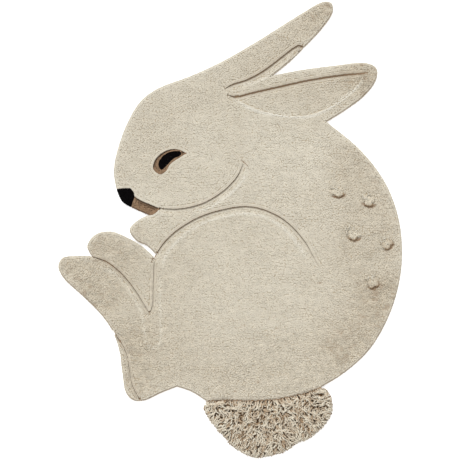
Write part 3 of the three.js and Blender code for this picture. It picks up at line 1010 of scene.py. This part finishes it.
def strand_tree():
    """Spins a flattened, twisted yarn along every line."""
    tree = bpy.data.node_groups.new("Spin yarn along lines", "GeometryNodeTree")
    face = tree.interface
    face.new_socket("Lines", in_out="INPUT", socket_type="NodeSocketGeometry")
    for name in ("Yarn radius", "Flatness", "Twist turns"):
        face.new_socket(name, in_out="INPUT", socket_type="NodeSocketFloat")
    face.new_socket("Sides", in_out="INPUT", socket_type="NodeSocketInt")
    face.new_socket("Wool", in_out="INPUT", socket_type="NodeSocketMaterial")
    face.new_socket("Yarn", in_out="OUTPUT", socket_type="NodeSocketGeometry")
    bench = Bench(tree)
    given = bench.node("NodeGroupInput")
    lines = bench.node("GeometryNodeMeshToCurve", None, {"Mesh": given["Lines"]})["Curve"]
    factor = bench.node("GeometryNodeSplineParameter")["Factor"]
    twist = (factor * given["Twist turns"] + bench.carried("tone")) * (2 * math.pi)
    twisted = bench.node("GeometryNodeSetCurveTilt", None, {"Curve": lines, "Tilt": twist})["Curve"]
    marked = bench.node(
        "GeometryNodeStoreNamedAttribute",
        {"data_type": "FLOAT", "domain": "POINT"},
        {"Geometry": twisted, "Name": "along", "Value": factor},
    )["Geometry"]
    round_yarn = bench.node(
        "GeometryNodeCurvePrimitiveCircle", None, {"Resolution": given["Sides"], "Radius": 1.0}
    )["Curve"]
    size = bench.node(
        "ShaderNodeCombineXYZ",
        None,
        {"X": given["Yarn radius"], "Y": given["Yarn radius"] * given["Flatness"], "Z": 1.0},
    )["Vector"]
    flat_yarn = bench.node(
        "GeometryNodeTransform", None, {"Geometry": round_yarn, "Scale": size}
    )["Geometry"]
    taper = (1 - factor.rise(0.9, 1.1) * 0.8) * bench.carried("thick")
    spun = bench.node(
        "GeometryNodeCurveToMesh",
        None,
        {"Curve": marked, "Profile Curve": flat_yarn, "Scale": taper, "Fill Caps": True},
    )["Mesh"]
    smooth = bench.node("GeometryNodeSetShadeSmooth", None, {"Geometry": spun})["Geometry"]
    real = bench.node("GeometryNodeRealizeInstances", None, {"Geometry": smooth})["Geometry"]
    dyed = bench.node(
        "GeometryNodeSetMaterial", None, {"Geometry": real, "Material": given["Wool"]}
    )["Geometry"]
    out = tree.nodes.new("NodeGroupOutput")
    tree.links.new(dyed.socket, out.inputs["Yarn"])
    return tree


class TailPlan:
    """The free rim of the tail's solid, its seam with the body and its top surface."""

    def __init__(self):
        self.loop = section_loops("tail", 5 * MM)[0]
        rim, left = resampled(self.loop, 1.0 * MM)
        body = Near(resampled(section_loops("tufted_body", SECTION_AT)[0], 1.0 * MM)[0])
        on_seam = body(rim)[1] < 3.5 * MM
        self.rim, self.outward = rim[~on_seam], -left[~on_seam]
        self.seam, self.inward = rim[on_seam], left[on_seam]
        self.near_rim, self.near_seam = Near(self.rim), Near(self.seam)
        self.top = Surface("tail")

    def beyond(self, points):
        """How far points lie outside the free rim, negative inside it."""
        index, _ = self.near_rim(points)
        return np.sum((points - self.rim[index]) * self.outward[index], axis=1)

    def flow(self, points, swirl):
        """The way the yarn lies at some points, turned by a swirl of its own."""
        index, to_rim = self.near_rim(points)
        at_seam, to_seam = self.near_seam(points)
        pull = np.clip(1 - to_rim / (34 * MM), 0, 1)[:, None]
        fan = points - (0.085, -0.33)
        fan /= np.linalg.norm(fan, axis=1)[:, None]
        way = fan * (0.5 + 0.4 * pull) + self.outward[index] * pull * 0.9
        turn = swirl * (1 - 0.55 * pull[:, 0])
        c, s = np.cos(turn), np.sin(turn)
        way = np.stack([way[:, 0] * c - way[:, 1] * s, way[:, 0] * s + way[:, 1] * c], 1)
        way /= np.maximum(np.linalg.norm(way, axis=1), 1e-6)[:, None]
        away = np.clip(1 - to_seam / (9 * MM), 0, 1)[:, None]
        way += self.inward[at_seam] * away * 1.6
        return way / np.maximum(np.linalg.norm(way, axis=1), 1e-6)[:, None], pull[:, 0]


def tail_strands(plan, seed=41):
    """Centre lines of the tail's long yarn, and the tone and thickness of each."""
    shake = np.random.default_rng(seed)
    roots = steady_grid(plan.loop.min(0), plan.loop.max(0), TAIL_GAP)
    roots += shake.normal(0, 1.0 * MM, roots.shape)
    heights, _ = plan.top(roots)
    _, to_rim = plan.near_rim(roots)
    _, to_seam = plan.near_seam(roots)
    roots = roots[(heights > 0) & (to_rim > 6 * MM) & (to_seam > 3 * MM)]
    middle = np.exp(-(((plan.seam[:, :1] - 0.09) / 0.055) ** 2))
    spill = np.random.default_rng(seed + 4).uniform(-1.6, 2.6, (len(plan.seam), 1))
    along_seam = (plan.seam - plan.inward * (spill + 0.8 * middle) * MM)[::3]
    skirt = (plan.rim - plan.outward * 7 * MM)[::3]
    skirt = skirt[plan.near_seam(skirt)[1] > 3 * MM]
    rows = [roots, along_seam, skirt]
    roots = np.vstack([row + shake.normal(0, 0.4 * MM, row.shape) for row in rows])
    count = len(roots)
    in_skirt = np.arange(count) >= count - len(skirt)
    clumps, eddies = Waves(seed, 27 * MM, 27 * MM), Waves(seed + 1, 11 * MM, 11 * MM)
    own = shake.normal(0, 0.65, count)
    reach = shake.uniform(15, 29, count) * MM
    ragged = shake.uniform(-2.5, 3.0, count) * MM
    ragged += 3 * MM * (np.random.default_rng(seed + 3).random(count) < 0.06)
    ragged += (Waves(seed + 2, 16 * MM, 16 * MM)(roots) - 0.6) * 4 * MM
    nearest_rim = plan.rim[plan.near_rim(roots)[0]]
    for x, y, wide, deep in TAIL_DIPS:
        away = np.linalg.norm(nearest_rim - (x * MM, y * MM), axis=1) / (wide * MM)
        ragged -= deep * MM * np.exp(-(away**2))
    steps = 2 * STRAND_SPANS
    walk = [roots]
    for _ in range(steps):
        here = walk[-1]
        swirl = (clumps(here) - 0.5) * 1.5 + (eddies(here) - 0.5) * 1.8 + own
        way, pull = plan.flow(here, swirl)
        walk.append(here + way * (reach / steps)[:, None])
    walk = np.stack(walk, 1)
    shares = np.linspace(0, 1, steps + 1)
    stopped = np.ones(count)
    for k in range(steps, 2, -1):
        stopped = np.where(plan.beyond(walk[:, k]) > ragged, shares[k], stopped)
    at = np.linspace(0, 1, STRAND_SPANS + 1)
    lines = np.zeros((count, STRAND_SPANS + 1, 3))
    for i in range(count):
        for axis in (0, 1):
            lines[i, :, axis] = np.interp(at * stopped[i], shares, walk[i, :, axis])
    layer = 1 - 0.32 * shake.random(count) ** 1.2
    layer = np.where(in_skirt, shake.uniform(0.35, 0.7, count), layer)
    at_seam = (np.arange(count) >= count - len(skirt) - len(along_seam)) & ~in_skirt
    layer = np.where(at_seam, np.maximum(layer, 0.95), layer)
    tops = plan.top(lines[:, :, :2].reshape(-1, 2))[0].reshape(count, -1)
    outside = plan.beyond(lines[:, :, :2].reshape(-1, 2)).reshape(count, -1)
    over_edge = np.clip((outside + 3 * MM) / (5 * MM), 0, 1)
    tops = np.where(tops < 0, 6.5 * MM, tops) * (1 - 0.4 * over_edge)
    to_seam = plan.near_seam(lines[:, :, :2].reshape(-1, 2))[1].reshape(count, -1)
    tops = np.where(to_seam < 8 * MM, np.maximum(tops, 13.5 * MM), tops)
    rise = np.clip(at[None, :] / np.where(at_seam, 0.1, 0.26)[:, None], 0, 1)
    rise = np.maximum(rise * (2 - rise), np.where(at_seam, 0.92, 0.0)[:, None])
    droop = 1 - 0.22 * np.clip((at - 0.8) / 0.2, 0, 1) ** 2
    lifted = tops * layer[:, None] * droop[None, :]
    lines[:, :, 2] = 3.6 * MM + (np.maximum(lifted, 3.2 * MM) - 3.6 * MM) * rise
    lines = crinkled(lines, 1.25 * MM, 2.1, shake)
    lines[:, :, 2] = np.clip(lines[:, :, 2], 2.6 * MM, np.maximum(tops + 1.5 * MM, 9 * MM))
    _, pull = plan.flow(roots, np.zeros(count))
    # lower strands are painted darker, as shade under the strands on top
    tone = 0.5 * (layer - 0.68) / 0.32 + 0.26 * pull + shake.normal(0.12, 0.2, count)
    thick = shake.uniform(0.8, 1.2, count)
    order = np.argsort(lines[:, :, 2].max(1))
    return lines[order], np.clip(tone, 0, 1)[order], thick[order]


def tail_foot(plan):
    """The dense foot of the tail's yarn, painted brown to stand for the warm shade seen in the gaps
    between the strands.
    """
    rim, left = resampled(plan.loop, 4.0 * MM)
    outline = rim + left * 6.0 * MM
    _, to_rim = Near(resampled(plan.loop, 1.0 * MM)[0])(outline)
    outline = resampled(outline[to_rim > 5.5 * MM], 4.0 * MM)[0]
    edge = Near(resampled(outline, 1.0 * MM)[0])
    grid = steady_grid(outline.min(0), outline.max(0), 5.0 * MM)
    grid = grid[(plan.top(grid)[0] > 0) & (edge(grid)[1] > 3.2 * MM)]
    _, to_rim = Near(resampled(plan.loop, 1.0 * MM)[0])(grid)
    grid = grid[to_rim > 9 * MM]
    lumps = Waves(47, 8 * MM, 8 * MM)

    def height_at(spots, rim):
        heights = plan.top(spots)[0] * (0.56 + 0.2 * lumps(spots))
        heights[rim] = 4.2 * MM
        return np.maximum(heights, 4.2 * MM)

    return closed_mound("tail_foot", outline, grid, [], height_at, 3.1 * MM)


def tuft_ends(x, y, long, wide, turn, brown, seed):
    """The yarn ends of one back tuft, which fan out over the pile around a tight root."""
    shake = np.random.default_rng(seed)
    gap = 2.9 * MM
    reach = max(long, wide) / 2 * MM
    rows = []
    for number, v in enumerate(np.arange(-reach, reach, gap * 0.87)):
        u = np.arange(-reach + (number % 2) * gap / 2, reach, gap)
        rows.append(np.stack([u, np.full(len(u), v)], 1))
    off = np.vstack(rows)
    off += shake.normal(0, 0.45 * MM, off.shape)
    share = off / (np.array([long, wide]) / 2 * MM)
    angle = np.arctan2(share[:, 1], share[:, 0])
    lobes = 0.98 + 0.12 * np.sin(3 * angle + seed) + 0.08 * np.sin(5 * angle + 2 * seed)
    away = np.hypot(share[:, 0], share[:, 1]) / lobes
    whole = away < 0.94
    off, away, share = off[whole], away[whole], share[whole]
    c, s = math.cos(math.radians(turn)), math.sin(math.radians(turn))
    off = off @ np.array([[c, s], [-s, c]])
    count = len(off)
    lump = Waves(seed, 9 * MM, 9 * MM)(off) - 0.5
    dome = np.sqrt(np.clip(1 - away**2, 0, 1))
    low_side = 0.72 + 0.28 * np.clip(share[:, 0] * 0.35 - share[:, 1] * 0.94, -1, 1)
    rise = 0.6 + 8.4 * dome * low_side + 2.6 * lump * dome
    heights = PILE_TOP + (rise + shake.normal(0, 0.35, count)) * MM
    outward = off / np.maximum(np.linalg.norm(off, axis=1), 1e-6)[:, None]
    fan = outward * (away**1.5 * 1.0)[:, None] + (0.18, -0.22)
    direction = np.column_stack([fan + shake.normal(0, 0.14, (count, 2)), np.ones(count)])
    direction /= np.linalg.norm(direction, axis=1)[:, None]
    top = np.column_stack([off + np.array([x, y]) * MM, heights])
    length = np.full(count, 6.5 * MM)
    length = np.minimum(length, (heights - 10.5 * MM) / direction[:, 2])
    return {
        "root": top - direction * length[:, None],
        "direction": direction,
        "length": length,
        # ends at the low outer edge, away from the window, are painted brown as the tuft's shade
        "brown": np.maximum(
            np.clip((away - 0.74) / 0.16, 0, 1) * (low_side > 0.79), brown * away),
        "parted": np.zeros(count),
        "tone": np.clip(shake.normal(0.5, 0.22, count), 0, 1),
        "turn": shake.uniform(0, 2 * np.pi, count),
        "shape": shake.integers(0, END_SHAPES, count),
        "plump": shake.uniform(0.72, 1.0, count),
    }


def loose_curls(x, y, long, wide, seed):
    """Centre lines of the short curls that have worked loose above one tuft."""
    shake = np.random.default_rng(seed)
    count = 14
    start = np.array([x - long * 0.16, y + wide * 0.28]) * MM
    roots = start + shake.normal(0, 1, (count, 2)) * (long * 0.20 * MM, wide * 0.15 * MM)
    heading = shake.normal(0, 1, (count, 2)) + (-0.4, 0.7)
    heading /= np.linalg.norm(heading, axis=1)[:, None]
    tips = roots + heading * (shake.uniform(4, 9, count) * MM)[:, None]
    crown = shake.uniform(15, 18.5, count) * MM
    first = np.column_stack([roots, np.full(count, 11.5 * MM)])
    second = np.column_stack([roots, crown * 1.1])
    third = np.column_stack([tips, crown * 1.1])
    last = np.column_stack([tips + heading * 2 * MM, np.maximum(crown - 6 * MM, 12.8 * MM)])
    lines = bezier(first, second, third, last, np.linspace(0, 1, 8))
    lines = crinkled(lines, 0.9 * MM, 1.8, shake)
    order = np.argsort(lines[:, :, 2].max(1))
    return lines[order], shake.random(count), shake.uniform(0.8, 1.2, count)


def lay_strand_map(piece):
    """A UV map by what colours a strand: its tone across and its length upwards."""
    mesh = piece.data
    count = len(mesh.vertices)
    along, tone = np.empty(count, np.float32), np.empty(count, np.float32)
    mesh.attributes["along"].data.foreach_get("value", along)
    mesh.attributes["tone"].data.foreach_get("value", tone)
    corners = np.empty(len(mesh.loops), np.int32)
    mesh.loops.foreach_get("vertex_index", corners)
    starts = np.empty(len(mesh.polygons), np.int32)
    mesh.polygons.foreach_get("loop_start", starts)
    step = np.arange(len(corners)) - np.repeat(starts, np.diff([*starts, len(corners)]))
    aside = np.isin(step % 4, (1, 2)) * 0.02
    places = np.stack([0.01 + 0.95 * tone[corners] + aside, 0.02 + 0.95 * along[corners]], 1)
    places[:, 1] += (step % 4 == 3) * 0.004
    layer = mesh.uv_layers.new(name="OFBake")
    layer.uv.foreach_set("vector", places.astype(np.float32).ravel())


# ---------------------------------------------------------------- the ground of the pile

bare_inlays = {name: Surface(name) for name in ("eye_rim", "eye_pupil", "nose", "mouth")}


def ground_points(outline):
    """Points inside the edge of the ground: a steady grid and the carved lines."""
    edge = Near(resampled(outline, 1.0 * MM)[0])
    every, links = [], []
    start = len(outline)

    def add(points, linked=False):
        nonlocal start
        points = points[pile_surface(points)[0] > 0]
        if linked:
            links.extend((start + i, start + i + 1) for i in range(len(points) - 1))
        start += len(points)
        every.append(points)

    rim, left = resampled(outline, 4.0 * MM)
    add(rim + left * 3.0 * MM)
    for row in carved_rows:
        line, left = resampled(row[:, :3], 4.0 * MM, closed=False)
        _, to_edge = edge(line)
        clear = to_edge > 3.0 * MM
        for offset in (0.0, 2.2, -2.6):
            add((line[:, :2] + left * offset * MM)[clear], linked=offset == 0.0)
    grid = steady_grid(outline.min(0), outline.max(0), 5.2 * MM)
    _, to_edge = edge(grid)
    to_carving = carving_at(grid)[1]
    add(grid[(to_edge > 5.2 * MM) & (to_carving > 5.0 * MM)])
    return np.vstack(every), links


def closed_mound(name, outline, inner, links, height_at, floor_z):
    """A closed mesh from a flat floor up to a height, over the points inside an outline."""
    around = [(i, (i + 1) % len(outline)) for i in range(len(outline))]
    enclosed, apart = 1, 1e-6  # keep the triangles inside the outline, merge doubles

    def spread(points, edges):
        flat = [Vector((float(p[0]), float(p[1]))) for p in points]
        spots, _, faces, origins, _, _ = delaunay_2d_cdt(flat, edges, [], enclosed, apart)
        place = {source: i for i, sources in enumerate(origins) for source in sources}
        spots = np.array([tuple(spot) for spot in spots])
        return spots, faces, [place[i] for i in range(len(outline))]

    top, top_faces, top_rim = spread(np.vstack([outline, inner]), around + links)
    low, low_faces, low_rim = spread(outline, around)
    spots = np.vstack(
        [
            np.column_stack([top, height_at(top, top_rim)]),
            np.column_stack([low, np.full(len(low), floor_z)]),
        ]
    )
    low_rim = [i + len(top) for i in low_rim]
    faces = [tuple(face) for face in top_faces]
    faces += [tuple(i + len(top) for i in reversed(face)) for face in low_faces]
    faces += [(low_rim[i], low_rim[j], top_rim[j], top_rim[i]) for i, j in around]
    mesh = bpy.data.meshes.new(name)
    mesh.from_pydata(spots.tolist(), [], faces)
    mesh.shade_smooth()
    piece = bpy.data.objects.new(name, mesh)
    bpy.context.scene.collection.objects.link(piece)
    return piece


def steady_grid(low, high, pitch):
    """Points in staggered rows between two corners."""
    rows = []
    for number, y in enumerate(np.arange(low[1], high[1], pitch * 0.87)):
        x = np.arange(low[0] + (number % 2) * pitch / 2, high[0], pitch)
        rows.append(np.stack([x, np.full(len(x), y)], 1))
    return np.vstack(rows)


def carry(mesh, **values):
    """Gives a mesh one number of each name at each of its points."""
    for key, found in values.items():
        layer = mesh.attributes.new(key, "FLOAT", "POINT")
        layer.data.foreach_set("value", found.astype(np.float32))


def places_of(mesh):
    spots = np.empty(len(mesh.vertices) * 3, np.float32)
    mesh.vertices.foreach_get("co", spots)
    return spots.reshape(-1, 3).astype(float)


def pile_ground():
    """The backing and the dense foot of the pile as one closed sheet."""
    backing = section_loops("tufted_body", BACKING_SECTION_AT)[0]
    dense, left = resampled(backing, 1.0 * MM)
    outline = dense + left * 2.0 * MM
    _, to_backing = Near(dense)(outline)
    outline = resampled(outline[to_backing > 1.8 * MM], 4.0 * MM)[0]
    inner, links = ground_points(outline)

    def height_at(spots, rim):
        heights, _ = pile_surface(spots)
        ground = np.maximum(heights - GROUND_SINK, LINE_FLOOR)
        ground[rim] = np.maximum(ground[rim] - 2.0 * MM, 2.2 * MM)
        return ground

    piece = closed_mound("pile_ground", outline, inner, links, height_at, 0.0)
    mesh = piece.data
    backing_slot, brown_slot, black_slot = 1, 2, 3
    for face in mesh.polygons:
        x, y, z = face.center
        if face.normal.z < 0.2 or z < BACKING + 0.1 * MM:
            face.material_index = backing_slot
        else:
            for solid, surface in bare_inlays.items():
                if surface.tree.ray_cast((x, y, 0.1), (0, 0, -1))[0] is not None:
                    taupe = solid in ("eye_rim", "mouth")
                    face.material_index = brown_slot if taupe else black_slot
    spots = places_of(mesh)
    _, distance, deep, _ = carving_at(spots)
    # painted brown shade down the carved lines
    cleft = np.clip(1 - distance / (5 * MM), 0, 1) * np.clip(deep * 1.5, 0, 1)
    carry(mesh, brown=wool_at(spots)[0], cleft=cleft)
    return piece


def ground_wool(name, base, browner, cleft):
    """The foot of the pile, seen between the yarn ends and down the carved lines, painted darker than
    the tips as shade low in the pile, and browner down the carved lines as their shade.
    """
    material, bench = new_material(name)
    place = bench.node("ShaderNodeTexCoord")["Object"]
    foot = bench.noise(place, 300.0, 3.0)
    body = bench.blend((bench.attribute("brown") + (foot - 0.5) * 0.6).clamped(), base, browner)
    colour = bench.blend(bench.attribute("cleft").rise(0.1, 0.7), body, cleft)
    return finish_wool(material, colour)


# ---------------------------------------------------------------- building the rug

# Oatmeal wool: the tip and browner colours are its own; the deep colour is painted shade low between the
# yarn ends, the crest colour a painted highlight, and the darkest brown a painted shade for partings and
# shaded edges.
OATMEAL = {
    "tip": linear(213, 206, 190),
    "browner": linear(186, 174, 153),
    "deep": linear(183, 174, 160),
    "parting": linear(132, 98, 66),
    "crest": linear(225, 221, 210),
}

oatmeal_pile = pile_wool("oatmeal_cut_pile", **OATMEAL)
taupe_pile = pile_wool(
    "taupe_cut_pile", linear(143, 117, 92), linear(112, 88, 66), linear(92, 72, 54),
    linear(70, 54, 40), heather=0.5)
black_pile = pile_wool(
    "black_cut_pile", linear(9, 7, 8), linear(6, 5, 5), linear(3, 3, 3),
    linear(3, 3, 3), heather=0.3)
black_shader = black_pile.node_tree.nodes["Principled BSDF"]
black_shader.inputs["Sheen Weight"].default_value = 0.0
black_shader.inputs["Specular IOR Level"].default_value = 0.05

ground = pile_ground()
for material in (
    ground_wool("oatmeal_pile_foot", linear(186, 172, 148), linear(170, 154, 130), linear(148, 124, 99)),
    backing_cloth(),
    ground_wool("taupe_pile_foot", linear(100, 78, 58), linear(88, 68, 50), linear(70, 54, 40)),
    ground_wool("black_pile_foot", linear(10, 9, 9), linear(9, 8, 8), linear(8, 7, 7)),
):
    ground.data.materials.append(material)

end_shapes = yarn_end_shapes()
stand_ends = yarn_end_tree(end_shapes)
ends_size = {"Long": YARN_END["long"], "Wide": YARN_END["wide"]}

pile_pieces = []
body_ends = dressed_ends("tufted_body", 11)
ceiling = 10.0
for name, floor_y in PILE_BANDS:
    y = body_ends["root"][:, 1]
    band = kept(body_ends, (y >= floor_y) & (y < ceiling))
    ceiling = floor_y
    piece = grown(name, points_mesh(name, band), stand_ends, Wool=oatmeal_pile, **ends_size)
    lay_flat_map(piece)
    pile_pieces.append(piece)
    print("PIECE", name, len(band["length"]), sum(p.loop_total - 2 for p in piece.data.polygons))

INLAYS = (
    # solid, piece, seed, wool, slot
    ("eye_rim", "eye_rim_pile", 21, taupe_pile, "taupe_pile"),
    ("eye_pupil", "eye_pupil_pile", 22, black_pile, "black_pile"),
    ("nose", "nose_pile", 23, black_pile, "black_pile"),
    ("mouth", "mouth_pile", 24, taupe_pile, "taupe_pile"),
)
inlays = []
for solid, name, seed, wool, slot in INLAYS:
    ends = dressed_ends(solid, seed)
    piece = grown(name, points_mesh(name, ends), stand_ends, Wool=wool, **ends_size)
    lay_flat_map(piece)
    inlays.append((piece, solid, slot))
    print("PIECE", name, len(ends["length"]), len(piece.data.polygons))
print("GROUND", len(ground.data.polygons))

spin_yarn = strand_tree()
tuft_pile = pile_wool(
    "cream_tuft_pile", linear(222, 214, 196), linear(168, 142, 110), linear(190, 160, 126),
    linear(128, 108, 84), heather=0.12, shadow_top=0.7)
tail_wool = strand_wool(
    "long_tail_yarn", linear(225, 216, 197), linear(172, 143, 110), linear(146, 117, 88))
tuft_wool = strand_wool(
    "cream_tuft_yarn", linear(232, 225, 209), linear(224, 215, 196), linear(206, 188, 160))
tail_plan = TailPlan()
lines, tone, thick = tail_strands(tail_plan)
tail = grown(
    "tail_yarn", strand_mesh("tail_yarn", lines, tone, thick), spin_yarn,
    **{"Yarn radius": 2.1 * MM, "Flatness": 0.7, "Twist turns": 1.2, "Sides": 4, "Wool": tail_wool})
lay_strand_map(tail)
foot = tail_foot(tail_plan)
carry(foot.data, brown=np.full(len(foot.data.vertices), 0.5), cleft=np.zeros(len(foot.data.vertices)))
foot.data.materials.append(
    ground_wool("brown_yarn_foot", linear(134, 106, 78), linear(110, 84, 60), linear(100, 76, 54)))
print("TAIL", len(lines), sum(len(p.vertices) - 2 for p in tail.data.polygons), len(foot.data.polygons))
for number, (solid, x, y, long, wide, turn, brown) in enumerate(BACK_TUFTS):
    name = solid + "_yarn"
    ends = points_mesh(name, tuft_ends(x, y, long, wide, turn, brown, seed=61 + number))
    tuft = grown(name, ends, stand_ends, Wool=tuft_pile, Long=4.4 * MM, Wide=4.0 * MM)
    lay_flat_map(tuft)
    name = solid + "_curls"
    lines, tone, thick = loose_curls(x, y, long, wide, seed=71 + number)
    curls = grown(
        name, strand_mesh(name, lines, tone, thick), spin_yarn,
        **{"Yarn radius": 1.2 * MM, "Flatness": 0.75, "Twist turns": 1.2, "Sides": 5, "Wool": tuft_wool})
    lay_strand_map(curls)
    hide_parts(solid)
    for piece in (tuft, curls):
        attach(piece, "root")
for shape in end_shapes:
    bpy.data.objects.remove(shape)
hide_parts("tail")
for piece in (tail, foot):
    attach(piece, "root")

for piece in (ground, *pile_pieces):
    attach(piece, "root")
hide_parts("tufted_body")
for piece, solid, slot in inlays:
    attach(piece, "root")
    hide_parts(solid)

# ---------------------------------------------------------------- room, light and camera

floor_mesh = bpy.data.meshes.new("studio_floor")
far = 40
corners = [(-far, -far), (far, -far), (far, far), (-far, far)]
floor_mesh.from_pydata([(x, y, -0.5 * MM) for x, y in corners], [], [(0, 1, 2, 3)])
floor = bpy.data.objects.new("studio_floor", floor_mesh)
bpy.context.scene.collection.objects.link(floor)
floor_material, _ = new_material("pale_floor")
floor_shader = floor_material.node_tree.nodes["Principled BSDF"]
floor_shader.inputs["Base Color"].default_value = (0.92, 0.92, 0.92, 1)
floor_shader.inputs["Roughness"].default_value = 0.9
floor_shader.inputs["Emission Color"].default_value = (1, 1, 1, 1)
floor_shader.inputs["Emission Strength"].default_value = 0.5
floor_shader.inputs["Specular IOR Level"].default_value = 0.1
floor_mesh.materials.append(floor_material)

world = bpy.data.worlds.new("studio_air")
world.use_nodes = True
world.node_tree.nodes["Background"].inputs["Color"].default_value = (1, 1, 1, 1)
world.node_tree.nodes["Background"].inputs["Strength"].default_value = 0.75
bpy.context.scene.world = world


lamp = bpy.data.lights.new("window_light", "SUN")
lamp.energy = 2.0
lamp.angle = math.radians(28)
light = bpy.data.objects.new("window_light", lamp)
light.rotation_euler = (-Vector((-0.35, 1.0, 1.15))).to_track_quat("-Z", "Y").to_euler()
bpy.context.scene.collection.objects.link(light)

camera_data = bpy.data.cameras.new("overhead_camera")
camera_data.lens = 100
camera_data.sensor_width = 36
camera = bpy.data.objects.new("overhead_camera", camera_data)
camera.location = (-0.0005, -0.0013, 3.366)
bpy.context.scene.collection.objects.link(camera)
bpy.context.scene.camera = camera
bpy.context.scene.view_settings.view_transform = "Standard"
